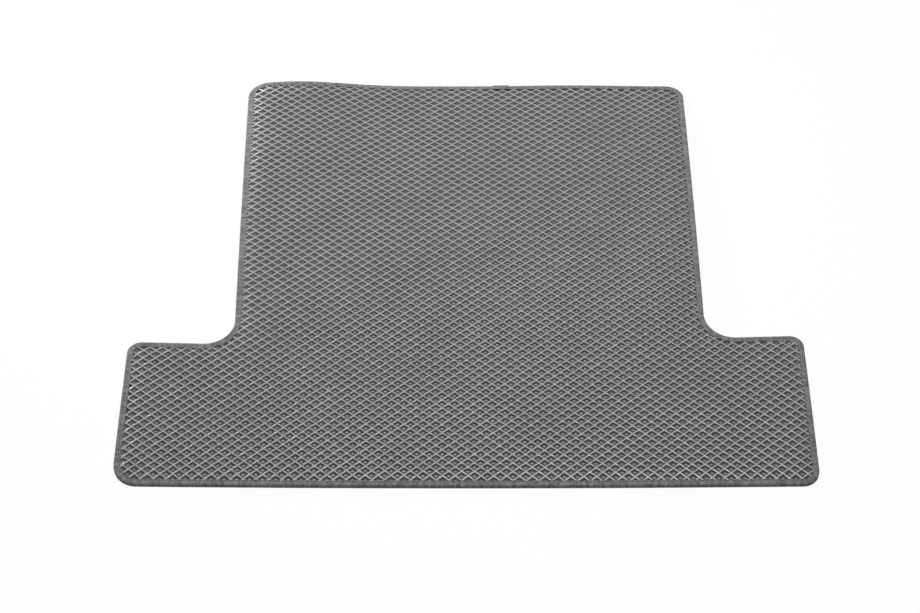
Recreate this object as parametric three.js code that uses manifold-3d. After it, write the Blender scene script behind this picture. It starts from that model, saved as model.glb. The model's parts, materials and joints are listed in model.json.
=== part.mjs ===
// Car boot liner: a T-shaped sheet of moulded foam with staggered diamond pits, bound all round with
// a folded tape that is sewn through. It lies on its front and far edges with a gentle crown between.
// Millimetres, +Z up. The wide front is towards -Y, and the neck runs back between the wheel arches.

import * as THREE from 'three';
import { mergeVertices, toCreasedNormals } from 'three/addons/utils/BufferGeometryUtils.js';
import Module from 'manifold-3d';

const wasm = await Module();
wasm.setup();

// Outline over the tape
const MAT_LENGTH = 1078; // front corners to far edge
const FRONT_WIDTH = 1324;
const WING_BACK_WIDTH = 1308;
const NECK_END_WIDTH = 918;
const NECK_END_SHIFT = 1; // the neck's far end lies this far to the right of the front's middle
const NECK_FOOT_WIDTH = 915;
const NECK_FOOT_SHIFT = 8;
const LEFT_WING_DEPTH = 327.5;
const RIGHT_WING_DEPTH = 343;
const WING_BACK_RISE = 6; // a wing reaches this much further back at its outer end
const FRONT_PEAK = 8; // the front edge's ends aim this far out, and its rounding halves that
const FRONT_STRAIGHT = 16; // left straight between that rounding and the larger front corner's

// Corner radii, each as the distance from the corner to where its rounding starts
const FRONT_LEFT_CORNER = 46;
const FRONT_RIGHT_CORNER = 32;
const WING_CORNER = 28;
const ARCH_FILLET = 60; // hollow corner that goes round the wheel arch
const FAR_LEFT_CORNER = 45;
const FAR_RIGHT_CORNER = 38;

// Foam sheet
const SHEET_THICKNESS = 10; // at the ridges between the pits
const FLOOR_THICKNESS = 3.5; // under a pit's deepest point
const PIT_PITCH_X = 48; // across the mat, along a pit's long diagonal
const PIT_PITCH_Y = 38.4;
const RIM_DROP = 1.6; // the pressed rim lies this much below the ridges
const RIM_CHAMFER = 1.2;
const RIM_ROOT = 1; // how far the rim runs in under the pits

// Binding tape and its seam
const TAPE_THICKNESS = 1;
const TAPE_SHOW = 12; // width of the folded tape on each face
const TAPE_ROLL = 1.8; // chamfer of the fold
const STITCH_MARGIN = 3.3; // seam line to the tape's inner edge
const STITCH_SINK = 0.6; // the seam pulls the tape in by this
const THREAD_WIDTH = 0.6;
const THREAD_HEIGHT = 0.4;
const THREAD_GAP = 0.15;
const CLEARANCE = 0.3; // between the tape and the foam, and between the tape's own layers

// Overlap of the tape's ends, on the far edge
const LAP_END_X = 92;
const LAP_LENGTH = 28;
const LAP_RAMP = 12;
const LAP_STEP = 4;
const LAP_SPARE = 2; // the lower end stops this far before the ramp

// How it lies
const CROWN = 28; // the middle stands this high over the front and far edges
const FAR_LIFTS = [
  { x: -350, rise: 15, spread: 130 },
  { x: 223, rise: 3, spread: 120 },
];

// Fineness of the facets
const EDGE_STEP = 90;
const ARC_STEP = THREE.MathUtils.degToRad(23);
const UNDERSIDE_STEP_X = 64;
const UNDERSIDE_STEP_Y = 100;
const CUT_DEPTH = 100; // depth of the blocks that the sheet is cut from
const CREASE_ANGLE = THREE.MathUtils.degToRad(25); // a sharper edge is shaded as a crease

const tapeBed = TAPE_THICKNESS + CLEARANCE;
const rimTop = SHEET_THICKNESS - RIM_DROP;
const stitchInset = TAPE_SHOW - STITCH_MARGIN;
const pitAreaInset = TAPE_SHOW + CLEARANCE;

// Adds one rounded corner of the outline to the path.
function addCorner(path, before, corner, after) {
  const at = new THREE.Vector2(corner.x, corner.y);
  const toBefore = new THREE.Vector2(before.x, before.y).sub(at).normalize();
  const toAfter = new THREE.Vector2(after.x, after.y).sub(at).normalize();
  const halfAngle = Math.acos(toBefore.dot(toAfter)) / 2;
  const radius = corner.reach * Math.tan(halfAngle);
  const centre = toBefore.clone().add(toAfter).setLength(corner.reach / Math.cos(halfAngle)).add(at);
  const start = toBefore.clone().multiplyScalar(corner.reach).add(at).sub(centre);
  const end = toAfter.clone().multiplyScalar(corner.reach).add(at).sub(centre);
  const turnsRight = toBefore.cross(toAfter) > 0;
  path.absarc(centre.x, centre.y, radius, start.angle(), end.angle(), turnsRight);
}

// The outline over the tape, counterclockwise from where the tape's upper end lies.
function outlinePath() {
  const endHalf = NECK_END_WIDTH / 2;
  const footHalf = NECK_FOOT_WIDTH / 2;
  const backHalf = WING_BACK_WIDTH / 2;
  const frontHalf = FRONT_WIDTH / 2;
  const peakReach = frontHalf - Math.max(FRONT_LEFT_CORNER, FRONT_RIGHT_CORNER) - FRONT_STRAIGHT;
  const corners = [
    { x: NECK_END_SHIFT - endHalf, y: MAT_LENGTH, reach: FAR_LEFT_CORNER },
    { x: NECK_FOOT_SHIFT - footHalf, y: LEFT_WING_DEPTH, reach: ARCH_FILLET },
    { x: -backHalf, y: LEFT_WING_DEPTH + WING_BACK_RISE, reach: WING_CORNER },
    { x: -frontHalf, y: 0, reach: FRONT_LEFT_CORNER },
    { x: 0, y: -FRONT_PEAK, reach: peakReach },
    { x: frontHalf, y: 0, reach: FRONT_RIGHT_CORNER },
    { x: backHalf, y: RIGHT_WING_DEPTH + WING_BACK_RISE, reach: WING_CORNER },
    { x: NECK_FOOT_SHIFT + footHalf, y: RIGHT_WING_DEPTH, reach: ARCH_FILLET },
    { x: NECK_END_SHIFT + endHalf, y: MAT_LENGTH, reach: FAR_RIGHT_CORNER },
  ];
  const path = new THREE.Path();
  path.moveTo(LAP_END_X, MAT_LENGTH);
  path.lineTo(LAP_END_X - LAP_LENGTH, MAT_LENGTH);
  path.lineTo(LAP_END_X - LAP_LENGTH - LAP_RAMP, MAT_LENGTH);
  corners.forEach((corner, i) => {
    const before = corners[(i + corners.length - 1) % corners.length];
    const after = corners[(i + 1) % corners.length];
    addCorner(path, before, corner, after);
  });
  path.lineTo(LAP_END_X + LAP_STEP, MAT_LENGTH);
  path.lineTo(LAP_END_X, MAT_LENGTH);
  return path;
}

// Places along the outline, each with the direction into the mat and how far the tape is lifted there.
function makeStations(path) {
  const stations = [];
  let travelled = 0;
  for (const curve of path.curves) {
    const turn = curve.getTangent(0).angleTo(curve.getTangent(1));
    const length = curve.getLength();
    const steps = Math.max(1, Math.ceil(length / EDGE_STEP), Math.ceil(turn / ARC_STEP));
    for (let i = 0; i < steps; i += 1) {
      const along = curve.getTangent(i / steps);
      const travel = travelled + (length * i) / steps;
      stations.push({
        point: curve.getPoint(i / steps),
        inward: new THREE.Vector2(-along.y, along.x),
        travel,
        lift: tapeBed * THREE.MathUtils.clamp((LAP_LENGTH + LAP_RAMP - travel) / LAP_RAMP, 0, 1),
      });
    }
    travelled += length;
  }
  return stations;
}

// Moves the stations so that the outline's box is centred on the origin.
function centreStations(stations) {
  const box = new THREE.Box2().setFromPoints(stations.map((station) => station.point));
  const centre = box.getCenter(new THREE.Vector2());
  for (const station of stations) {
    station.point.sub(centre);
  }
  return box.getSize(new THREE.Vector2()).multiplyScalar(0.5);
}

const ring = makeStations(outlinePath());
const half = centreStations(ring);

// Height of the underside: the crown, and the stretches of the far edge that curl up.
function lie(x, y) {
  const share = y / half.y;
  const farShare = Math.max(0, share) ** 2;
  let height = CROWN * (1 - share ** 2);
  for (const lift of FAR_LIFTS) {
    height += lift.rise * Math.exp(-(((x - lift.x) / lift.spread) ** 2)) * farShare;
  }
  return height;
}

function shellGeometry(positions, indices) {
  const geometry = new THREE.BufferGeometry();
  geometry.setAttribute('position', new THREE.Float32BufferAttribute(positions, 3));
  geometry.setIndex(indices);
  return geometry;
}

// Sweeps a section of [inset, height] points along the stations. It follows how the mat lies.
function sweep(stations, sectionAt, closed) {
  const positions = [];
  const indices = [];
  for (const station of stations) {
    for (const [inset, height] of sectionAt(station)) {
      const x = station.point.x + station.inward.x * inset;
      const y = station.point.y + station.inward.y * inset;
      positions.push(x, y, height + lie(x, y));
    }
  }
  const sides = sectionAt(stations[0]).length;
  const spans = closed ? stations.length : stations.length - 1;
  for (let i = 0; i < spans; i += 1) {
    const here = i * sides;
    const next = ((i + 1) % stations.length) * sides;
    for (let j = 0; j < sides; j += 1) {
      const k = (j + 1) % sides;
      indices.push(here + j, next + j, next + k);
      indices.push(here + j, next + k, here + k);
    }
  }
  if (!closed) {
    const outline = sectionAt(stations[0]).map(([inset, height]) => new THREE.Vector2(inset, height));
    const last = (stations.length - 1) * sides;
    for (const [a, b, c] of THREE.ShapeUtils.triangulateShape(outline, [])) {
      indices.push(c, b, a);
      indices.push(last + a, last + b, last + c);
    }
  }
  return shellGeometry(positions, indices);
}

// The block between a surface on a grid and a level floor. Diagonals join the grid's odd points.
function blockUnder(columns, rows, heightAt, depth) {
  const positions = [];
  const indices = [];
  const width = columns.length;
  rows.forEach((y, j) => {
    columns.forEach((x, i) => positions.push(x, y, heightAt(x, y, (i + j) % 2 === 1)));
  });
  for (let j = 0; j < rows.length - 1; j += 1) {
    for (let i = 0; i < width - 1; i += 1) {
      const a = j * width + i;
      const b = a + 1;
      const c = b + width;
      const d = a + width;
      const faces = (i + j) % 2 === 1 ? [a, b, c, a, c, d] : [a, b, d, b, c, d];
      indices.push(...faces);
    }
  }
  const loop = [
    ...columns.map((x, i) => i),
    ...rows.slice(1).map((y, j) => (j + 2) * width - 1),
    ...columns.slice(1).map((x, i) => rows.length * width - 2 - i),
    ...rows.slice(1, -1).map((y, j) => (rows.length - 2 - j) * width),
  ];
  const firstLow = positions.length / 3;
  for (const top of loop) {
    positions.push(positions[top * 3], positions[top * 3 + 1], -depth);
  }
  const middle = positions.length / 3;
  positions.push((columns[0] + columns.at(-1)) / 2, (rows[0] + rows.at(-1)) / 2, -depth);
  loop.forEach((top, i) => {
    const nextTop = loop[(i + 1) % loop.length];
    const low = firstLow + i;
    const nextLow = firstLow + ((i + 1) % loop.length);
    indices.push(low, nextLow, nextTop, low, nextTop, top, middle, nextLow, low);
  });
  return shellGeometry(positions, indices);
}

// Evenly spaced grid lines past both ends of a half span, with the middle of a gap at zero.
function gridLines(halfSpan, step) {
  const count = Math.ceil(halfSpan / step) + 1;
  return Array.from({ length: 2 * count }, (unused, i) => (i - count + 0.5) * step);
}

function solidFrom(geometry) {
  const plain = geometry.clone();
  plain.deleteAttribute('normal');
  plain.deleteAttribute('uv');
  const merged = mergeVertices(plain);
  return new wasm.Manifold(new wasm.Mesh({
    numProp: 3,
    vertProperties: merged.getAttribute('position').array,
    triVerts: Uint32Array.from(merged.getIndex().array),
  }));
}

function geometryFrom(solid) {
  const mesh = solid.getMesh();
  return shellGeometry(Array.from(mesh.vertProperties), Array.from(mesh.triVerts));
}

// The pitted field inside the tape, cut to the outline, with its underside shaped as the mat lies.
function pittedField() {
  const surface = (x, y, crossing) => lie(x, y) + (crossing ? SHEET_THICKNESS : FLOOR_THICKNESS);
  const pitColumns = gridLines(half.x, PIT_PITCH_X / 2);
  const pitRows = gridLines(half.y, PIT_PITCH_Y / 2);
  const block = solidFrom(blockUnder(pitColumns, pitRows, surface, CUT_DEPTH));
  const lowColumns = gridLines(pitColumns.at(-1), UNDERSIDE_STEP_X);
  const lowRows = gridLines(pitRows.at(-1), UNDERSIDE_STEP_Y);
  const below = solidFrom(blockUnder(lowColumns, lowRows, lie, 2 * CUT_DEPTH));
  const edge = ring.map(({ point, inward }) => inward.clone().multiplyScalar(pitAreaInset).add(point));
  const depth = 3 * CUT_DEPTH;
  const plan = new THREE.ExtrudeGeometry(new THREE.Shape(edge), { depth, bevelEnabled: false });
  plan.translate(0, 0, -CUT_DEPTH);
  return block.subtract(below).intersect(solidFrom(plan));
}

function makeEvaSheet() {
  const top = rimTop - tapeBed;
  const rimSection = () => [
    [tapeBed + RIM_CHAMFER, tapeBed],
    [tapeBed, tapeBed + RIM_CHAMFER],
    [tapeBed, top - RIM_CHAMFER],
    [tapeBed + RIM_CHAMFER, top],
    [pitAreaInset + RIM_ROOT, top],
    [pitAreaInset + RIM_ROOT, tapeBed],
  ];
  const rim = solidFrom(sweep(ring, rimSection, true));
  return geometryFrom(pittedField().add(rim));
}

// The tape's folded section. A lift carries its overlapping end out over the layer below.
function tapeSection({ lift }) {
  const top = rimTop + lift;
  const bottom = -lift;
  const outside = -lift;
  return [
    [TAPE_SHOW, bottom],
    [stitchInset, bottom + STITCH_SINK],
    [outside + TAPE_ROLL, bottom],
    [outside, bottom + TAPE_ROLL],
    [outside, top - TAPE_ROLL],
    [outside + TAPE_ROLL, top],
    [stitchInset, top - STITCH_SINK],
    [TAPE_SHOW, top],
    [TAPE_SHOW, top - TAPE_THICKNESS],
    [outside + TAPE_THICKNESS, top - TAPE_THICKNESS],
    [outside + TAPE_THICKNESS, bottom + TAPE_THICKNESS],
    [TAPE_SHOW, bottom + TAPE_THICKNESS],
  ];
}

function makeEdgeBinding() {
  const lowerReach = LAP_LENGTH - LAP_SPARE;
  const covered = ring.filter(({ travel }) => travel < lowerReach);
  const start = ring[0];
  const heading = new THREE.Vector2(start.inward.y, -start.inward.x);
  const lowerEnd = { ...start, point: heading.multiplyScalar(lowerReach).add(start.point) };
  const lowerLayer = [...covered, lowerEnd].map((station) => ({ ...station, lift: 0 }));
  return sweep([...ring, ...lowerLayer], tapeSection, false);
}

// A thread lies in the groove of its seam: the needle thread above, the bobbin thread below.
function needleSection({ lift }) {
  const low = rimTop + lift - STITCH_SINK + THREAD_GAP;
  return [
    [stitchInset, low],
    [stitchInset - THREAD_WIDTH / 2, low + THREAD_HEIGHT],
    [stitchInset + THREAD_WIDTH / 2, low + THREAD_HEIGHT],
  ];
}

function bobbinSection({ lift }) {
  const high = STITCH_SINK - lift - THREAD_GAP;
  return [
    [stitchInset, high],
    [stitchInset + THREAD_WIDTH / 2, high - THREAD_HEIGHT],
    [stitchInset - THREAD_WIDTH / 2, high - THREAD_HEIGHT],
  ];
}

function namedMesh(name, geometry, color, roughness) {
  const material = new THREE.MeshStandardMaterial({ color, roughness, metalness: 0 });
  const mesh = new THREE.Mesh(toCreasedNormals(geometry, CREASE_ANGLE), material);
  mesh.name = name;
  return mesh;
}

const liner = new THREE.Group();
liner.add(
  namedMesh('eva_sheet', makeEvaSheet(), 0x8a8886, 0.72),
  namedMesh('edge_binding', makeEdgeBinding(), 0x68696b, 0.9),
  namedMesh('needle_thread', sweep(ring, needleSection, true), 0x77787a, 0.6),
  namedMesh('bobbin_thread', sweep(ring, bobbinSection, true), 0x77787a, 0.6),
);

// The origin goes under the middle of the whole mat, at the level that it lies on.
const extent = new THREE.Box3().setFromObject(liner);
const middle = extent.getCenter(new THREE.Vector3());
liner.position.set(-middle.x, -middle.y, -extent.min.z);

export default liner;
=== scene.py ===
import json
import math

import bpy
import numpy as np
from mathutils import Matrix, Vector
from mathutils.kdtree import KDTree


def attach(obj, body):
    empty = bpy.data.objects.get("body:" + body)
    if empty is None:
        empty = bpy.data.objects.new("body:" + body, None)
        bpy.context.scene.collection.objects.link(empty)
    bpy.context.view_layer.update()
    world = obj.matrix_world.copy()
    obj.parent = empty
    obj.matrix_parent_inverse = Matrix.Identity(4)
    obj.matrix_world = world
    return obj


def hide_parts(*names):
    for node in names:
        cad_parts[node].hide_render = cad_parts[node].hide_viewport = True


bl_info = {
    "name": "Car boot liner",
    "version": (1, 0, 0),
    "blender": (4, 5, 0),
    "location": "View3D > Sidebar > Boot liner",
    "description": "Models a pitted foam boot mat, the tape sewn round its edge and a plain studio",
    "category": "Object",
}

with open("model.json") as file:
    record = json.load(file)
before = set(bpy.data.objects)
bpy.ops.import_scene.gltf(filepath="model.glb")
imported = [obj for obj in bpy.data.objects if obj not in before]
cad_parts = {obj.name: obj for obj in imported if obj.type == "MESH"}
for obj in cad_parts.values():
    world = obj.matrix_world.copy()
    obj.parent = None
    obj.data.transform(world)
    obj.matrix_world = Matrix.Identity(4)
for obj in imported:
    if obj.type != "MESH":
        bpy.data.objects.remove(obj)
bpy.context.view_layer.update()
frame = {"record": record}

PHOTO_WIDTH = 920  # pixels
SENSOR_WIDTH = 36.0  # millimetres
ORIGIN = (0, 0, 0)
WHITE = (1, 1, 1, 1)
MERGE_DISTANCE = 1e-6


def slot_colour(slot):
    """The colour that the record gives a finish, as a default for the settings."""
    found = [m["base_color"] for m in frame["record"]["materials"] if m["slot"] == slot]
    return tuple(found[0])


def length(name, default, description):
    return bpy.props.FloatProperty(
        name=name, description=description, default=default, precision=5, unit="LENGTH"
    )


def angle(name, degrees, description):
    return bpy.props.FloatProperty(
        name=name, description=description, default=math.radians(degrees), subtype="ANGLE", unit="ROTATION"
    )


def number(name, default, description):
    return bpy.props.FloatProperty(name=name, description=description, default=default, precision=4)


def colour(name, default, description):
    return bpy.props.FloatVectorProperty(
        name=name, description=description, default=default, size=3, subtype="COLOR", min=0, max=1
    )


class OutlineSettings(bpy.types.PropertyGroup):
    """Outline of the mat over its tape. The wide front is towards -Y."""

    mat_length: length("Mat length", 1.078, "Front corners to far edge")
    front_width: length("Front width", 1.324, "Width along the front edge")
    wing_back_width: length("Wing back width", 1.308, "Width at the back of the wings")
    neck_end_width: length("Neck end width", 0.918, "Width of the neck's far end")
    neck_end_shift: length("Neck end shift", 0.001, "How far the neck's far end lies to the right")
    neck_foot_width: length("Neck foot width", 0.915, "Width of the neck between the wings")
    neck_foot_shift: length("Neck foot shift", 0.008, "How far the neck's foot lies to the right")
    left_wing_depth: length("Left wing depth", 0.3275, "Front edge to the back of the left wing")
    right_wing_depth: length("Right wing depth", 0.343, "Front edge to the back of the right wing")
    wing_back_rise: length("Wing back rise", 0.006, "How much further back a wing reaches at its end")
    front_peak: length("Front peak", 0.008, "How far out the ends of the front edge aim")
    front_straight: length("Front straight", 0.016, "Left straight beside the larger front corner's rounding")
    front_left_corner: length("Front left corner", 0.046, "Front left corner to where its rounding starts")
    front_right_corner: length("Front right corner", 0.032, "Front right corner to where its rounding starts")
    wing_corner: length("Wing corner", 0.028, "Wing's back corner to where its rounding starts")
    arch_fillet: length("Arch fillet", 0.060, "Hollow corner to where its rounding starts")
    far_left_corner: length("Far left corner", 0.045, "Far left corner to where its rounding starts")
    far_right_corner: length("Far right corner", 0.038, "Far right corner to where its rounding starts")
    crown: length("Crown", 0.028, "Height of the middle over the front and far edges")
    left_lift: length("Left lift", 0.015, "How far the far edge curls up on the left")
    left_lift_x: length("Left lift place", -0.350, "Where it curls up most")
    left_lift_spread: length("Left lift spread", 0.130, "How far that curl spreads")
    right_lift: length("Right lift", 0.003, "How far the far edge curls up on the right")
    right_lift_x: length("Right lift place", 0.223, "Where it curls up most")
    right_lift_spread: length("Right lift spread", 0.120, "How far that curl spreads")
    level: length("Level", 0.00073, "Height of the underside where the edges lie, over the lap's bottom")


class FoamSettings(bpy.types.PropertyGroup):
    """The moulded foam sheet and its staggered diamond pits."""

    thickness: length("Thickness", 0.010, "Sheet thickness at the ridges")
    pit_pitch_x: length("Pit pitch across", 0.024, "Long diagonal of a pit")
    pit_pitch_y: length("Pit pitch along", 0.0192, "Short diagonal of a pit")
    crossing_x: length("Crossing across", -0.0008, "A ridge crossing near the middle, across the mat")
    crossing_y: length("Crossing along", -0.0010, "A ridge crossing near the middle, along the mat")
    lean_x: number("Lean across", -0.0094, "Slip of the pit rows across, per length along")
    lean_y: number("Lean along", -0.0076, "Slip of the pit rows along, per length across")
    crest: length("Crest", 0.0009, "Half width of a ridge's rounded crest")
    crest_drop: length("Crest drop", 0.00015, "Fall of the crest to its sides")
    shoulder: length("Shoulder", 0.0007, "Width of the rounding beside the crest")
    shoulder_drop: length("Shoulder drop", 0.00045, "Fall over that rounding")
    wall: length("Wall", 0.0026, "Width of a pit's steep wall")
    wall_drop: length("Wall drop", 0.0026, "Fall of that wall")
    foot: length("Foot", 0.0016, "Width of the hollow at a wall's foot")
    foot_drop: length("Foot drop", 0.00075, "Fall over that hollow")
    floor_widen: number("Floor widening", 1.5, "Stretch of a pit's floor across the mat")
    floor_narrow: number("Floor narrowing", 0.7, "Squeeze of a pit's floor along the mat")
    cut_inset: length("Cut inset", 0.0123, "Outline to the edge of the pitted field")
    rim_drop: length("Rim drop", 0.0016, "How far the tape's face lies below the ridges")
    pressed: number("Pressed share", 0.17, "How much the seam presses the foam beside the tape")
    pressed_reach: length("Pressed reach", 0.009, "How far in from the tape that is felt")
    crest_colour: colour("Crest colour", slot_colour("eva_foam"), "Foam at the ridges")
    # Painted shade: a dark colour on the pit walls and floors that stands in for the shade falling in the
    # pits.
    pit_shade_colour: colour("Wall colour", (0.07, 0.0685, 0.067), "Foam on the walls of the pits")


class TapeSettings(bpy.types.PropertyGroup):
    """The woven tape folded over the edge and the seam that holds it."""

    thickness: length("Tape thickness", 0.001, "Thickness of the tape")
    clearance: length("Clearance", 0.0003, "Between the tape and what it lies on")
    show: length("Tape show", 0.012, "Width of the folded tape on each face")
    roll: length("Tape roll", 0.0018, "Radius of the fold")
    stitch_margin: length("Stitch margin", 0.0033, "Seam to the tape's inner edge")
    stitch_sink: length("Stitch sink", 0.0006, "How far the seam pulls the tape in")
    sink_reach: length("Sink reach", 0.0024, "How far that is felt to each side")
    pucker: length("Pucker", 0.00016, "Rise of the tape between its stitches")
    edge_wave: length("Edge wave", 0.0006, "Unevenness of the tape's inner edge")
    lap_end_x: length("Lap end", 0.092, "Where the tape's upper end lies on the far edge")
    lap_length: length("Lap length", 0.028, "How far the ends overlap")
    lap_ramp: length("Lap ramp", 0.012, "Where the upper layer comes down to the edge")
    lap_spare: length("Lap spare", 0.002, "The lower end stops this far before the ramp")
    tape_colour: colour("Tape colour", slot_colour("binding_tape"), "Woven tape")
    stitch_pitch: length("Stitch pitch", 0.005, "Length of one stitch")
    thread_width: length("Thread width", 0.0007, "Width of the sewing thread")
    thread_gap: length("Thread gap", 0.00015, "Clear space under the thread")
    thread_colour: colour("Thread colour", slot_colour("sewing_thread"), "Sewing thread")


class StudioSettings(bpy.types.PropertyGroup):
    """Camera, lamps and floor."""

    focal_pixels: number("Focal length", 2798.0, "Focal length in pixels of the photograph")
    distance: length("Distance", 5.528, "Camera to the point that it aims at")
    elevation: angle("Elevation", 47.86, "Camera above the horizon")
    aim_x: length("Aim across", -0.0114, "Point that the camera aims at")
    aim_y: length("Aim along", -0.0825, "Point that the camera aims at")
    key_power: number("Key power", 31.0, "Watts of the low lamp behind on the left")
    top_power: number("Top power", 114.0, "Watts of the lamp overhead")
    sky: number("Sky level", 0.05, "Strength of the even light from all round")
    floor_radius: length("Floor radius", 9.0, "Radius of the pale floor")
    floor_glow: number("Floor glow", 0.94, "Share of plain white in the floor that the camera sees")


class LinerSettings(bpy.types.PropertyGroup):
    """All the settings of the boot liner."""

    outline: bpy.props.PointerProperty(type=OutlineSettings, name="Outline", description="Outline and lie")
    foam: bpy.props.PointerProperty(type=FoamSettings, name="Foam", description="Foam sheet")
    tape: bpy.props.PointerProperty(type=TapeSettings, name="Tape", description="Tape and seam")
    studio: bpy.props.PointerProperty(type=StudioSettings, name="Studio", description="Camera and light")


# Outline


def unit(vector):
    return vector / np.linalg.norm(vector)


def turned(vectors, angles):
    """Vectors turned anticlockwise, each by its angle."""
    cos, sin = np.cos(angles), np.sin(angles)
    x, y = vectors[..., 0], vectors[..., 1]
    return np.stack([x * cos - y * sin, x * sin + y * cos], axis=-1)


def outline_corners(o):
    """Corners as (x, y, reach of the rounding), counterclockwise from the far left."""
    end, foot = o.neck_end_width / 2, o.neck_foot_width / 2
    back, front = o.wing_back_width / 2, o.front_width / 2
    rise = o.wing_back_rise
    peak_reach = front - max(o.front_left_corner, o.front_right_corner) - o.front_straight
    return [
        (o.neck_end_shift - end, o.mat_length, o.far_left_corner),
        (o.neck_foot_shift - foot, o.left_wing_depth, o.arch_fillet),
        (-back, o.left_wing_depth + rise, o.wing_corner),
        (-front, 0, o.front_left_corner),
        (0, -o.front_peak, peak_reach),
        (front, 0, o.front_right_corner),
        (back, o.right_wing_depth + rise, o.wing_corner),
        (o.neck_foot_shift + foot, o.right_wing_depth, o.arch_fillet),
        (o.neck_end_shift + end, o.mat_length, o.far_right_corner),
    ]


class Outline:
    """Places along the outline, from where the tape's upper end lies, each with the way into the mat."""

    STEP = 0.001  # between two places
    HAIR = 1e-9  # keeps two travels apart where their points meet

    def __init__(self, o, t):
        points, headings = [], []
        corners = outline_corners(o)
        start = here = np.array([t.lap_end_x, o.mat_length])
        for i, (x, y, reach) in enumerate(corners):
            at = np.array([x, y])
            to_before = unit(np.array(corners[i - 1][:2]) - at)
            to_after = unit(np.array(corners[(i + 1) % len(corners)][:2]) - at)
            self.add_straight(points, headings, here, at + to_before * reach)
            half_angle = math.acos(to_before @ to_after) / 2
            centre = at + unit(to_before + to_after) * reach / math.cos(half_angle)
            left = to_before[0] * to_after[1] - to_before[1] * to_after[0] < 0
            turn = (math.pi - 2 * half_angle) * (1 if left else -1)
            arc = abs(turn) * reach * math.tan(half_angle)
            angles = turn * np.arange(0, 1, self.STEP / arc)
            points.append(centre + turned(np.tile(at + to_before * reach - centre, (len(angles), 1)), angles))
            headings.append(turned(np.tile(-to_before, (len(angles), 1)), angles))
            here = at + to_after * reach
        self.add_straight(points, headings, here, start)
        points.append(start[None])
        headings.append(headings[-1][:1])
        points = np.concatenate(points)
        headings = np.concatenate(headings)
        steps = np.linalg.norm(np.diff(points, axis=0), axis=1)
        self.travel = np.concatenate([[0], np.cumsum(steps)])
        self.perimeter = self.travel[-1]
        self.half = np.ptp(points, axis=0) / 2
        bed = t.thickness + t.clearance
        middle = (points.min(axis=0) + points.max(axis=0)) / 2 + [0, bed / 2]
        self.shift_y = -bed / 2
        self.points = points - middle
        self.inward = np.stack([-headings[:, 1], headings[:, 0]], axis=1)
        turns = np.unwrap(np.arctan2(headings[:, 1], headings[:, 0]))
        self.bend = np.gradient(turns, self.travel + np.arange(len(turns)) * self.HAIR)
        self.settings = o

    def add_straight(self, points, headings, start, end):
        span = np.linalg.norm(end - start)
        shares = np.arange(0, 1, self.STEP / span)[:, None]
        points.append(start + (end - start) * shares)
        headings.append(np.tile((end - start) / span, (len(shares), 1)))

    def lie(self, x, y):
        """Height of the underside: the crown, and the stretches of the far edge that curl up."""
        o = self.settings
        share = (y - self.shift_y) / self.half[1]
        far = np.maximum(share, 0) ** 2
        left = o.left_lift * np.exp(-(((x - o.left_lift_x) / o.left_lift_spread) ** 2))
        right = o.right_lift * np.exp(-(((x - o.right_lift_x) / o.right_lift_spread) ** 2))
        return o.level + o.crown * (1 - share**2) + (left + right) * far

    def place(self, travel, inset, height):
        """Points at a travel along the edge, an inset from it and a height over the underside."""
        along = np.mod(travel, self.perimeter)
        x, y, nx, ny = (
            np.interp(along, self.travel, column) for column in (*self.points.T, *self.inward.T)
        )
        x, y = x + nx * inset, y + ny * inset
        return np.stack([x, y, height + self.lie(x, y)], axis=-1)

    def bend_at(self, travel):
        return np.interp(np.mod(travel, self.perimeter), self.travel, self.bend)

    def loop(self, inset, straight_step, turn_step):
        """Points of a closed line inside the outline, closer together round its corners."""
        turns = np.unwrap(np.arctan2(*self.inward.T))
        load = np.diff(self.travel) / straight_step + np.abs(np.diff(turns)) / turn_step
        sum_load = np.concatenate([[0], np.cumsum(load)])
        count = math.ceil(sum_load[-1])
        travel = np.interp(np.arange(count) * sum_load[-1] / count, sum_load, self.travel)
        return travel, self.place(travel, inset, 0)

    def tree(self):
        tree = KDTree(len(self.points))
        for i, (x, y) in enumerate(self.points):
            tree.insert((x, y, 0), i)
        tree.balance()
        return tree


def liner(context):
    return context.scene.boot_liner


def outline_of(context):
    return Outline(liner(context).outline, liner(context).tape)


# Modelling by hand


def deselect():
    """An operator acts on all that is selected, and the CAD nodes come in selected."""
    if bpy.context.mode != "OBJECT":
        bpy.ops.object.mode_set(mode="OBJECT")
    bpy.ops.object.select_all(action="DESELECT")


def only(obj):
    deselect()
    obj.select_set(True)
    bpy.context.view_layer.objects.active = obj


def added(name):
    """The primitive that an operator has just added, under its own name."""
    obj = bpy.context.active_object
    obj.name = name
    obj.data.name = name
    return obj


def edit(everything=True):
    bpy.ops.object.mode_set(mode="EDIT")
    bpy.ops.mesh.select_mode(type="FACE")
    if everything:
        bpy.ops.mesh.select_all(action="SELECT")


def finish_edit():
    bpy.ops.object.mode_set(mode="OBJECT")


def points_of(mesh):
    flat = np.empty(len(mesh.vertices) * 3, dtype=np.float32)
    mesh.vertices.foreach_get("co", flat)
    return flat.reshape(-1, 3).astype(np.float64)


def set_points(mesh, points):
    """Moves all the points of a mesh, in their order."""
    mesh.vertices.foreach_set("co", np.asarray(points, dtype=np.float32).ravel())
    mesh.update()


def face_facts(mesh):
    """Centres and normals of the faces."""
    centres = np.empty(len(mesh.polygons) * 3, dtype=np.float32)
    normals = np.empty(len(mesh.polygons) * 3, dtype=np.float32)
    mesh.polygons.foreach_get("center", centres)
    mesh.polygons.foreach_get("normal", normals)
    return centres.reshape(-1, 3), normals.reshape(-1, 3)


def select_faces(mesh, chosen):
    """Selects these faces, for the next look at edit mode."""
    mesh.vertices.foreach_set("select", np.zeros(len(mesh.vertices), dtype=bool))
    mesh.edges.foreach_set("select", np.zeros(len(mesh.edges), dtype=bool))
    mesh.polygons.foreach_set("select", np.asarray(chosen, dtype=bool))


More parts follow.
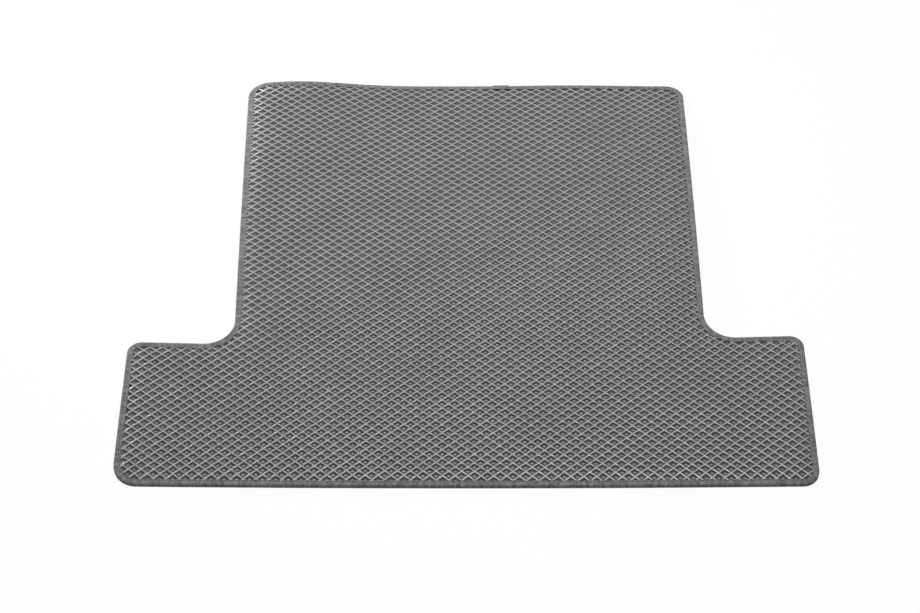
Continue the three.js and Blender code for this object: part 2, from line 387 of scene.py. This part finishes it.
def modify(obj, kind, **settings):
    """Adds a modifier and applies it."""
    only(obj)
    modifier = obj.modifiers.new(kind.lower(), kind)
    for key, value in settings.items():
        setattr(modifier, key, value)
    bpy.ops.object.modifier_apply(modifier=modifier.name)


def carve(obj, tool, operation):
    """Cuts or joins a piece with a tool, which is used up."""
    modify(obj, "BOOLEAN", object=tool, operation=operation, solver="MANIFOLD")
    bpy.data.objects.remove(tool)


def outward(obj):
    """Merges points that meet and turns the faces outward."""
    only(obj)
    edit()
    bpy.ops.mesh.remove_doubles(threshold=MERGE_DISTANCE)
    bpy.ops.mesh.normals_make_consistent(inside=False)
    finish_edit()


def thicken(height):
    """Turns the flat faces of the active object into a block, upwards or downwards."""
    edit()
    bpy.ops.mesh.extrude_region_move(TRANSFORM_OT_translate={"value": (0, 0, height)})
    bpy.ops.mesh.select_all(action="SELECT")
    bpy.ops.mesh.normals_make_consistent(inside=False)
    finish_edit()


def smooth(obj, degrees):
    only(obj)
    bpy.ops.object.shade_smooth_by_angle(angle=math.radians(degrees))


def dress(obj, material, slot, *nodes):
    """Gives a finished piece its finish and its place in the CAD model."""
    obj.data.materials.clear()
    obj.data.materials.append(material)
    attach(obj, "root")
    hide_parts(*nodes)


# Finishes


def finish_tree(name):
    material = bpy.data.materials.new(name)
    material.use_nodes = True
    tree = material.node_tree
    tree.nodes.clear()
    output = tree.nodes.new("ShaderNodeOutputMaterial")
    shader = tree.nodes.new("ShaderNodeBsdfPrincipled")
    tree.links.new(shader.outputs["BSDF"], output.inputs["Surface"])
    return material, tree, shader


def node(tree, kind, inputs=None, **settings):
    """A node with its settings, and its inputs as values or as the outputs that feed them."""
    made = tree.nodes.new("ShaderNode" + kind)
    for key, value in settings.items():
        setattr(made, key, value)
    for key, value in (inputs or {}).items():
        if isinstance(value, bpy.types.NodeSocket):
            tree.links.new(value, made.inputs[key])
        else:
            made.inputs[key].default_value = value
    return made


def ramp(tree, factor, stops):
    """A ramp from stops, each a position with a colour or with one grey level."""
    made = node(tree, "ValToRGB", {"Fac": factor})
    elements = made.color_ramp.elements
    while len(elements) < len(stops):
        elements.new(0.5)
    for element, (position, tone) in zip(elements, stops):
        element.position = position
        element.color = (*tone, 1) if len(tone) == 3 else (tone[0],) * 3 + (1,)
    return made.outputs["Color"]


def multiplied(tree, first, second):
    inputs = {"Factor": 1.0, "A": first, "B": second}
    return node(tree, "Mix", inputs, data_type="RGBA", blend_type="MULTIPLY").outputs["Result"]


def noise(tree, place, scale, detail, roughness=0.5):
    inputs = {"Vector": place, "Scale": scale, "Detail": detail, "Roughness": roughness}
    return node(tree, "TexNoise", inputs).outputs["Fac"]


def bump(tree, strength, distance, height, **below):
    """The normal of a raised skin, over the normal below it where one is given."""
    inputs = {"Strength": strength, "Distance": distance, "Height": height, **below}
    return node(tree, "Bump", inputs).outputs["Normal"]


def bands(tree, place, scale, distortion, direction):
    """Even bands, such as threads side by side."""
    inputs = {"Vector": place, "Scale": scale, "Distortion": distortion, "Detail": 1.0}
    return node(tree, "TexWave", inputs, bands_direction=direction).outputs["Fac"]


def sees_white(tree):
    """1 for a ray from the camera, off a gloss or through something clear, and 0 for the rest."""
    path = node(tree, "LightPath").outputs
    seen = path["Is Camera Ray"]
    for kind in ("Is Glossy Ray", "Is Transmission Ray"):
        seen = node(tree, "Math", {0: seen, 1: path[kind]}, operation="MAXIMUM").outputs["Value"]
    return seen


def show_mixed(tree, share, first, second, output):
    mixed = node(tree, "MixShader", {0: share, 1: first, 2: second})
    tree.links.new(mixed.outputs["Shader"], output.inputs["Surface"])


def foam_finish(s):
    """Moulded foam skin: the foam's own colour on the crests, painted shade darkening the pit walls and
    floors, fine grain and a soft gloss.
    """
    material, tree, shader = finish_tree("eva_foam")
    place = node(tree, "TexCoord").outputs["Object"]
    relief = node(tree, "Attribute", attribute_name="relief").outputs["Fac"]
    wall, crest = np.array(s.pit_shade_colour), np.array(s.crest_colour)
    # Painted shade: below the shoulders the pits take the dark shade colour, and the crests keep the foam's
    # own colour.
    tone = ramp(tree, relief, [(0.84, wall), (0.965, crest)])
    cloud = noise(tree, place, 9.0, 4.0, 0.6)
    speck = noise(tree, place, 420.0, 2.0)
    clouded = multiplied(tree, tone, ramp(tree, cloud, [(0.3, (0.93,)), (0.7, (1.06,))]))
    specked = multiplied(tree, clouded, ramp(tree, speck, [(0.3, (0.88,)), (0.72, (1.1,))]))
    tree.links.new(specked, shader.inputs["Base Color"])
    polish = ramp(tree, relief, [(0.1, (0.27,)), (0.3, (0.42,)), (0.8, (0.4,)), (0.95, (0.24,))])
    rough = multiplied(tree, polish, ramp(tree, speck, [(0.3, (0.92,)), (0.7, (1.08,))]))
    tree.links.new(rough, shader.inputs["Roughness"])
    grain = noise(tree, place, 1500.0, 2.0)
    swell = bump(tree, 0.08, 0.0003, speck)
    tree.links.new(bump(tree, 0.15, 0.0001, grain, Normal=swell), shader.inputs["Normal"])
    shine = ramp(tree, relief, [(0.12, (0.6,)), (0.3, (0.12,)), (0.8, (0.12,)), (0.95, (0.5,))])
    tree.links.new(shine, shader.inputs["Specular IOR Level"])
    shader.inputs["Sheen Weight"].default_value = 0.08
    shader.inputs["Sheen Roughness"].default_value = 0.4
    return material


def tape_finish(s):
    """Plain-woven tape: fine ribs across the weave, uneven dye and a faint bloom at grazing light."""
    material, tree, shader = finish_tree("binding_tape")
    cloth = node(tree, "UVMap", uv_map="UVMap").outputs["UV"]
    warp = bands(tree, cloth, 180.0, 0.6, "Y")
    weft = bands(tree, cloth, 300.0, 0.8, "X")
    weave = node(tree, "Math", {0: warp, 1: weft}, operation="MULTIPLY").outputs["Value"]
    stretched = node(tree, "Mapping", {"Vector": cloth, "Scale": (150.0, 55.0, 1.0)}).outputs["Vector"]
    dye = noise(tree, stretched, 1.0, 6.0, 0.75)
    base = np.array(s.tape_colour)
    tone = ramp(tree, dye, [(0.38, base * 0.4), (0.62, base * 1.34)])
    thread = ramp(tree, weave, [(0.0, (0.66,)), (0.7, (1.12,))])
    tree.links.new(multiplied(tree, tone, thread), shader.inputs["Base Color"])
    tree.links.new(ramp(tree, dye, [(0.3, (0.72,)), (0.7, (0.86,))]), shader.inputs["Roughness"])
    tree.links.new(bump(tree, 0.5, 0.00025, weave), shader.inputs["Normal"])
    shader.inputs["Specular IOR Level"].default_value = 0.3
    shader.inputs["Sheen Weight"].default_value = 0.1
    shader.inputs["Sheen Roughness"].default_value = 0.5
    return material


def thread_finish(s):
    """Twisted sewing thread with a slight lustre."""
    material, tree, shader = finish_tree("sewing_thread")
    twist = node(tree, "UVMap", uv_map="UVMap").outputs["UV"]
    ply = bands(tree, twist, 900.0, 0.5, "DIAGONAL")
    base = np.array(s.thread_colour)
    tree.links.new(ramp(tree, ply, [(0.0, base * 0.8), (1.0, base * 1.15)]), shader.inputs["Base Color"])
    tree.links.new(bump(tree, 0.5, 0.0001, ply), shader.inputs["Normal"])
    shader.inputs["Roughness"].default_value = 0.55
    shader.inputs["Sheen Weight"].default_value = 0.2
    return material


def floor_finish(s):
    """Pale floor that keeps a faint shadow and shows white to the camera and in reflections."""
    material, tree, shader = finish_tree("studio_floor")
    shader.inputs["Base Color"].default_value = (0.8, 0.8, 0.8, 1)
    shader.inputs["Roughness"].default_value = 0.9
    share = node(tree, "Math", {0: sees_white(tree), 1: s.floor_glow}, operation="MULTIPLY").outputs["Value"]
    glow = node(tree, "Emission", {"Color": WHITE, "Strength": 1.0}).outputs["Emission"]
    output = next(n for n in tree.nodes if n.type == "OUTPUT_MATERIAL")
    show_mixed(tree, share, shader.outputs["BSDF"], glow, output)
    return material


# Foam sheet

SPARE_ROWS = 2  # rows of diamonds to spare round the mat
FACES_UP = 0.9  # least rise of the normal of a face that faces up
FIELD_STEP = 0.05  # longest step along a straight side
FIELD_TURN = math.radians(3)  # largest turn of a step round a corner
RIM_STEP = 0.04
RIM_TURN = math.radians(6)
RIM_ROUNDING = 0.0012
RIM_ROOT = 0.001  # how far the rim reaches into the pitted field
MOST_SEGMENTS = 256  # Blender makes no torus with more
ON_CUT = 1e-4  # a point this near the cut belongs to the pitted field
FOAM_CREASE = 32  # degrees


def pit_lattice(s, outline):
    """A slab whose upper faces are the diamonds between the ridges, over a little more than the mat."""
    reach = outline.half * [2 / s.pit_pitch_x, 2 / s.pit_pitch_y]
    count = 2 * math.ceil(reach.sum() / 2 + SPARE_ROWS)
    deselect()
    bpy.ops.mesh.primitive_grid_add(
        x_subdivisions=count, y_subdivisions=count, size=count, location=ORIGIN, calc_uvs=False
    )
    slab = added("eva_foam_sheet")
    edit()
    bpy.ops.transform.rotate(value=math.pi / 4, orient_axis="Z", center_override=ORIGIN)
    half_x, half_y = s.pit_pitch_x / 2, s.pit_pitch_y / 2
    bpy.ops.transform.resize(value=(half_x * math.sqrt(2), half_y * math.sqrt(2), 1), center_override=ORIGIN)
    bpy.ops.transform.translate(value=(s.crossing_x, s.crossing_y, s.thickness))
    finish_edit()
    points = points_of(slab.data)
    x, y = points[:, 0].copy(), points[:, 1].copy()
    points[:, 0] = x + s.lean_x * y
    points[:, 1] = y + s.lean_y * x
    set_points(slab.data, points)
    trim_lattice(slab, s, outline)
    thicken(-s.thickness)
    return slab


def trim_lattice(slab, s, outline):
    """Deletes the diamonds that lie wholly outside the pitted field."""
    centres, _ = face_facts(slab.data)
    tree = outline.tree()
    outside = np.empty(len(centres), dtype=bool)
    for i, (x, y, _) in enumerate(centres):
        _, k, _ = tree.find((x, y, 0))
        inset = (np.array([x, y]) - outline.points[k]) @ outline.inward[k]
        outside[i] = inset < s.cut_inset - s.pit_pitch_x / 2
    select_faces(slab.data, outside)
    edit(everything=False)
    bpy.ops.mesh.delete(type="FACE")
    finish_edit()


def sink_pits(slab, s):
    """Insets each diamond in steps, down to a small lens-shaped floor."""
    mesh = slab.data
    centres, normals = face_facts(mesh)
    select_faces(mesh, (normals[:, 2] > FACES_UP) & (centres[:, 2] > s.thickness / 2))
    edit(everything=False)
    steps = [
        (s.crest, s.crest_drop),
        (s.shoulder, s.shoulder_drop),
        (s.wall, s.wall_drop),
        (s.foot, s.foot_drop),
    ]
    for inset, drop in steps:
        bpy.ops.mesh.inset(thickness=inset, depth=-drop, use_individual=True, use_even_offset=True)
    finish_edit()
    bottom = s.thickness - sum(drop for _, drop in steps)
    points = points_of(mesh)
    for face in mesh.polygons:
        if face.select:
            corners = list(face.vertices)
            middle = points[corners].mean(axis=0)
            points[corners] = middle + (points[corners] - middle) * [s.floor_widen, s.floor_narrow, 1]
            points[corners, 2] = bottom
    set_points(mesh, points)


def field_tool(s, outline):
    """The upright block that the pitted field is cut to."""
    _, loop = outline.loop(s.cut_inset, FIELD_STEP, FIELD_TURN)
    deselect()
    bpy.ops.mesh.primitive_circle_add(vertices=len(loop), radius=1, fill_type="NGON", location=ORIGIN)
    tool = added("field_tool")
    loop[:, 2] = -s.thickness
    set_points(tool.data, loop)
    thicken(4 * s.thickness)
    return tool


def rim_ring(s, t, outline):
    """The thin rim that the tape is folded over."""
    bed = t.thickness + t.clearance
    top = s.thickness - s.rim_drop - bed
    inner = s.cut_inset + RIM_ROOT
    section = [
        (inner, bed),
        (bed + RIM_ROUNDING, bed),
        (bed, bed + RIM_ROUNDING),
        (bed, top - RIM_ROUNDING),
        (bed + RIM_ROUNDING, top),
        (inner, top),
    ]
    travel, _ = outline.loop(0, RIM_STEP, RIM_TURN)
    if len(travel) > MOST_SEGMENTS:
        raise RuntimeError("the rim has more stations than a torus can have")
    deselect()
    bpy.ops.mesh.primitive_torus_add(
        major_segments=len(travel),
        minor_segments=len(section),
        major_radius=1,
        minor_radius=0.1,
        location=ORIGIN,
    )
    ring = added("rim_ring")
    inset, height = np.array(section).T
    shape = outline.place(travel[:, None], inset[None], 0)
    shape[..., 2] = height
    set_points(ring.data, shape.reshape(-1, 3))
    outward(ring)
    return ring


def lay_down(slab, s, outline):
    """Marks the relief, presses the foam beside the seam and lets the sheet lie over its crown."""
    points = points_of(slab.data)
    relief = np.clip(points[:, 2] / s.thickness, 0, 1)
    floor_share = 1 - (s.crest_drop + s.shoulder_drop + s.wall_drop + s.foot_drop) / s.thickness
    relief = np.clip((relief - floor_share) / (1 - floor_share), 0, 1)
    # The relief share also places the painted shade in the pits, in the foam finish.
    mark = slab.data.attributes.new("relief", "FLOAT", "POINT")
    mark.data.foreach_set("value", relief.astype(np.float32))
    tree = outline.tree()
    inset = np.array([tree.find((x, y, 0))[2] for x, y, _ in points])
    beyond = inset - s.cut_inset
    press = s.pressed * np.exp(-((beyond / s.pressed_reach) ** 2)) * (beyond > -ON_CUT)
    points[:, 2] = points[:, 2] * (1 - press) + outline.lie(points[:, 0], points[:, 1])
    set_points(slab.data, points)


class BOOTLINER_OT_foam_sheet(bpy.types.Operator):
    """Models the foam sheet with its diamond pits"""

    bl_idname = "boot_liner.foam_sheet"
    bl_label = "Foam sheet"
    bl_options = {"REGISTER", "UNDO"}

    def execute(self, context):
        s, t, outline = liner(context).foam, liner(context).tape, outline_of(context)
        slab = pit_lattice(s, outline)
        sink_pits(slab, s)
        carve(slab, field_tool(s, outline), "INTERSECT")
        carve(slab, rim_ring(s, t, outline), "UNION")
        if not slab.data.polygons:
            raise RuntimeError("the foam sheet came out empty")
        lay_down(slab, s, outline)
        smooth(slab, FOAM_CREASE)
        dress(slab, foam_finish(s), "eva_foam", "eva_sheet")
        return {"FINISHED"}


# Tape and seam

FLAT_POINTS = 4  # points of the fold line on each face, before its round part
ARC_POINTS = 5  # points of a quarter turn of the fold
TOP_ROWS = 11  # points across the tape's upper face
FOLD_ROWS = 7
UNDER_ROWS = 5
WAVE_COUNT = 12  # waves that add up to an unevenness
TAPE_CREASE = 50  # degrees
THREAD_CREASE = 80
STITCH_SHARE = 0.98  # a stitch's length over its pitch
THREAD_REST = 0.75  # height of a thread's middle over the tape, over its radius
THREAD_DIP = 0.25  # half the fall at a stitch's ends, over its radius


def fold_line(s, t, lift):
    """The middle of the tape's thickness, from its upper inner edge round the fold, as (inset, height)."""
    half = t.thickness / 2
    top = s.thickness - s.rim_drop + lift
    bottom = -lift
    seam = t.show - t.stitch_margin
    bend = t.roll - half
    arc = np.linspace(0, math.pi / 2, ARC_POINTS)
    line = [(t.show, top - half)]
    line += [(seam + t.sink_reach, top - half), (seam, top - half - t.stitch_sink)]
    line += [(seam - t.sink_reach, top - half)]
    line += [(t.roll - lift - bend * math.sin(a), top - t.roll + bend * math.cos(a)) for a in arc]
    line += [(t.roll - lift - bend * math.cos(a), bottom + t.roll - bend * math.sin(a)) for a in arc]
    line += [(seam - t.sink_reach, bottom + half)]
    line += [(seam, bottom + half + t.stitch_sink), (seam + t.sink_reach, bottom + half)]
    line += [(t.show, bottom + half)]
    return np.array(line)


def lap_lift(t, travel):
    """How far the tape is raised over its own lower end."""
    bed = t.thickness + t.clearance
    return bed * np.clip((t.lap_length + t.lap_ramp - travel) / t.lap_ramp, 0, 1)


def unevenness(travel, seed, shortest, longest):
    """A smooth uneven wave along the edge, mostly between -1 and 1."""
    source = np.random.default_rng(seed)
    total = np.zeros_like(travel)
    for _ in range(WAVE_COUNT):
        wave = math.exp(source.uniform(math.log(shortest), math.log(longest)))
        total += np.sin(2 * math.pi * (travel / wave + source.uniform()))
    return total / math.sqrt(WAVE_COUNT)


class FoldedTape:
    """Carries points given along and across the flat tape to where they lie on the mat."""

    PUCKER_SEED = 3
    PUCKER_WAVES = (0.02, 0.2)  # shortest and longest
    EVEN_PUCKER = 0.6  # pucker that is there everywhere
    WAVY_PUCKER = 0.6  # pucker that comes and goes
    BEND_PUCKER = 0.05  # pucker added for each unit of bend
    MOST_BEND = 30
    MEAN_RISE = 0.35  # mean height along the seam, as a share of the pucker
    STITCH_SWING = 0.65  # added between two stitches and taken off at each
    PUCKERED = (0.08, 0.92)  # shares of the tape's shown width between which it changes
    EDGE_SEED = 5
    EDGE_WAVES = (0.012, 0.09)  # shortest and longest
    MOST_INWARD = 0.0002  # how far the edge's wave may reach in

    def __init__(self, s, t, outline):
        self.tape, self.outline = t, outline
        self.low = fold_line(s, t, 0)
        self.high = fold_line(s, t, t.thickness + t.clearance)
        steps = np.linalg.norm(np.diff(self.low, axis=0), axis=1)
        self.across = np.concatenate([[0], np.cumsum(steps)])
        self.width = self.across[-1]
        self.length = outline.perimeter + t.lap_length - t.lap_spare

    def lift(self, along):
        return lap_lift(self.tape, along) / (self.tape.thickness + self.tape.clearance)

    def section(self, along, across):
        lift = self.lift(along)
        sides = []
        for axis in (0, 1):
            low = np.interp(across, self.across, self.low[:, axis])
            high = np.interp(across, self.across, self.high[:, axis])
            sides.append(low + (high - low) * lift)
        return sides

    def place(self, along, across):
        t = self.tape
        inset, height = self.section(along, across)
        top = height > self.low[:, 1].mean()
        share = np.clip((inset - t.roll) / (t.show - t.roll), 0, 1)
        stitch = np.cos(2 * math.pi * along / t.stitch_pitch)
        waves = np.abs(unevenness(along, self.PUCKER_SEED, *self.PUCKER_WAVES))
        strength = self.EVEN_PUCKER + self.WAVY_PUCKER * waves
        strength = strength + np.clip(self.outline.bend_at(along), 0, self.MOST_BEND) * self.BEND_PUCKER
        swing = self.MEAN_RISE - stitch * self.STITCH_SWING
        rise = t.pucker * strength * swing * np.sin(math.pi * np.clip(share, *self.PUCKERED))
        height = height + rise * np.where(top, 1, -1)
        edge = t.edge_wave * unevenness(along, self.EDGE_SEED, *self.EDGE_WAVES) * share**2
        return self.outline.place(along, inset - np.maximum(edge, -self.MOST_INWARD), height)


def tape_rows(folded):
    """Places across the flat tape: over the mat, round the fold and under the mat."""
    fold_start = folded.across[FLAT_POINTS]
    fold_end = folded.across[-1 - FLAT_POINTS]
    return np.concatenate(
        [
            np.linspace(0, fold_start, TOP_ROWS)[:-1],
            np.linspace(fold_start, fold_end, FOLD_ROWS)[:-1],
            np.linspace(fold_end, folded.width, UNDER_ROWS),
        ]
    )


def lay_texture(mesh, flat):
    """Gives each corner of a face the place of its point on the flat tape."""
    corners = np.empty(len(mesh.loops), dtype=np.int32)
    mesh.loops.foreach_get("vertex_index", corners)
    mesh.uv_layers[0].name = "UVMap"
    mesh.uv_layers[0].uv.foreach_set("vector", flat[corners].astype(np.float32).ravel())


class BOOTLINER_OT_binding_tape(bpy.types.Operator):
    """Models the tape folded over the edge all round"""

    bl_idname = "boot_liner.binding_tape"
    bl_label = "Binding tape"
    bl_options = {"REGISTER", "UNDO"}

    def execute(self, context):
        s, t, outline = liner(context).foam, liner(context).tape, outline_of(context)
        folded = FoldedTape(s, t, outline)
        across = tape_rows(folded)
        count = round(folded.length / (t.stitch_pitch / 2))
        deselect()
        bpy.ops.mesh.primitive_grid_add(
            x_subdivisions=count, y_subdivisions=len(across) - 1, size=1, location=ORIGIN, calc_uvs=True
        )
        strip = added("edge_tape")
        mesh = strip.data
        grid = points_of(mesh) + [0.5, 0.5, 0]
        along = grid[:, 0] * folded.length
        place_across = across[np.rint(grid[:, 1] * (len(across) - 1)).astype(int)]
        lay_texture(mesh, np.stack([along, place_across], axis=1))
        set_points(mesh, folded.place(along, place_across))
        modify(strip, "SOLIDIFY", thickness=t.thickness, offset=0, use_even_offset=True)
        only(strip)
        edit()
        bpy.ops.mesh.normals_make_consistent(inside=False)
        finish_edit()
        smooth(strip, TAPE_CREASE)
        dress(strip, tape_finish(t), "binding_tape", "edge_binding")
        return {"FINISHED"}


def stitch_line(name, s, t, outline, above):
    """One seam thread: a stitch modelled once, repeated along the seam and laid in its groove."""
    radius = t.thread_width / 2
    deselect()
    bpy.ops.mesh.primitive_uv_sphere_add(segments=6, ring_count=5, radius=radius, location=ORIGIN)
    thread = added(name)
    edit()
    bpy.ops.transform.rotate(value=math.pi / 2, orient_axis="Y", center_override=ORIGIN)
    stretch = STITCH_SHARE * t.stitch_pitch / t.thread_width
    bpy.ops.transform.resize(value=(stretch, 1, 1), center_override=ORIGIN)
    finish_edit()
    stitches = round(outline.perimeter / t.stitch_pitch)
    pitch = outline.perimeter / stitches
    modify(
        thread,
        "ARRAY",
        count=stitches,
        use_relative_offset=False,
        use_constant_offset=True,
        constant_offset_displace=(pitch, 0, 0),
    )
    flat = points_of(thread.data)
    along = flat[:, 0] + pitch / 2
    seam = t.show - t.stitch_margin
    dip = THREAD_DIP * radius * (1 + np.cos(2 * math.pi * along / pitch))
    clear = t.thread_gap + THREAD_REST * radius - dip + lap_lift(t, np.mod(along, outline.perimeter))
    height = s.thickness - s.rim_drop - t.stitch_sink + clear if above else t.stitch_sink - clear
    set_points(thread.data, outline.place(along, seam + flat[:, 1], height + flat[:, 2]))
    outward(thread)
    smooth(thread, THREAD_CREASE)
    return thread


class BOOTLINER_OT_seam(bpy.types.Operator):
    """Models the sewing threads above and below"""

    bl_idname = "boot_liner.seam"
    bl_label = "Seam"
    bl_options = {"REGISTER", "UNDO"}

    def execute(self, context):
        s, t, outline = liner(context).foam, liner(context).tape, outline_of(context)
        finish = thread_finish(t)
        dress(stitch_line("needle_stitches", s, t, outline, True), finish, "sewing_thread", "needle_thread")
        dress(stitch_line("bobbin_stitches", s, t, outline, False), finish, "sewing_thread", "bobbin_thread")
        return {"FINISHED"}


# Studio

FLOOR_SIDES = 96
FLOOR_DROP = 0.0002  # keeps the floor clear of the tape that lies on it


def area_lamp(name, place, target, size, power, spread):
    deselect()
    bpy.ops.object.light_add(type="AREA", location=place)
    lamp = bpy.context.active_object
    lamp.name = name
    lamp.data.shape = "RECTANGLE"
    lamp.data.size, lamp.data.size_y = size
    lamp.data.energy = power
    lamp.data.spread = spread
    lamp.rotation_euler = (Vector(target) - Vector(place)).to_track_quat("-Z", "Y").to_euler()


def add_camera(scene, s):
    """The camera of the photograph, which looks along the mat from its wide front."""
    aim = Vector((s.aim_x, s.aim_y, 0))
    back = Vector((0, -math.cos(s.elevation), math.sin(s.elevation)))
    deselect()
    bpy.ops.object.camera_add(location=aim + back * s.distance)
    camera = bpy.context.active_object
    camera.name = "camera"
    camera.rotation_euler = (-back).to_track_quat("-Z", "Y").to_euler()
    camera.data.sensor_width = SENSOR_WIDTH
    camera.data.lens = s.focal_pixels * SENSOR_WIDTH / PHOTO_WIDTH
    scene.camera = camera


def add_lamps(s):
    """A far, wide lamp low behind on the left and a long one overhead."""
    area_lamp(
        "key_lamp",
        place=(-2.2, 3.2, 1.5),
        target=(0, 0.2, 0),
        size=(1.6, 0.5),
        power=s.key_power,
        spread=math.radians(60),
    )
    area_lamp(
        "top_lamp",
        place=(0.1, -0.2, 3.7),
        target=ORIGIN,
        size=(2.4, 0.4),
        power=s.top_power,
        spread=math.pi,
    )


def add_surroundings(scene, s):
    """Faint even light from all round, which looks white."""
    world = bpy.data.worlds.new("studio")
    scene.world = world
    world.use_nodes = True
    tree = world.node_tree
    tree.nodes.clear()
    output = tree.nodes.new("ShaderNodeOutputWorld")
    even = node(tree, "Background", {"Color": WHITE, "Strength": s.sky}).outputs["Background"]
    white = node(tree, "Background", {"Color": WHITE, "Strength": 1.0}).outputs["Background"]
    show_mixed(tree, sees_white(tree), even, white, output)


def add_floor(s):
    deselect()
    bpy.ops.mesh.primitive_circle_add(
        vertices=FLOOR_SIDES, radius=s.floor_radius, fill_type="NGON", location=(0, 0, -FLOOR_DROP)
    )
    floor = added("studio_floor")
    bpy.ops.object.transform_apply(location=True, rotation=False, scale=False)
    floor.data.materials.append(floor_finish(s))


class BOOTLINER_OT_studio(bpy.types.Operator):
    """Sets the camera, the lamps and the pale floor"""

    bl_idname = "boot_liner.studio"
    bl_label = "Studio"
    bl_options = {"REGISTER", "UNDO"}

    def execute(self, context):
        s = liner(context).studio
        scene = context.scene
        scene.view_settings.view_transform = "Standard"
        add_camera(scene, s)
        add_lamps(s)
        add_surroundings(scene, s)
        add_floor(s)
        return {"FINISHED"}


class BOOTLINER_PT_panel(bpy.types.Panel):
    """Lists the steps that build the boot liner"""

    bl_idname = "BOOTLINER_PT_panel"
    bl_label = "Boot liner"
    bl_space_type = "VIEW_3D"
    bl_region_type = "UI"
    bl_category = "Boot liner"

    def draw(self, context):
        for step in STEPS:
            self.layout.operator(step.bl_idname)


STEPS = (BOOTLINER_OT_foam_sheet, BOOTLINER_OT_binding_tape, BOOTLINER_OT_seam, BOOTLINER_OT_studio)
CLASSES = (
    OutlineSettings,
    FoamSettings,
    TapeSettings,
    StudioSettings,
    LinerSettings,
    *STEPS,
    BOOTLINER_PT_panel,
)


def register():
    for item in CLASSES:
        bpy.utils.register_class(item)
    bpy.types.Scene.boot_liner = bpy.props.PointerProperty(
        type=LinerSettings, name="Boot liner", description="Sizes and colours of the boot liner"
    )


def unregister():
    del bpy.types.Scene.boot_liner
    for item in reversed(CLASSES):
        bpy.utils.unregister_class(item)


def main():
    register()
    bpy.ops.boot_liner.foam_sheet()
    bpy.ops.boot_liner.binding_tape()
    bpy.ops.boot_liner.seam()
    bpy.ops.boot_liner.studio()


if __name__ == "__main__":
    main()
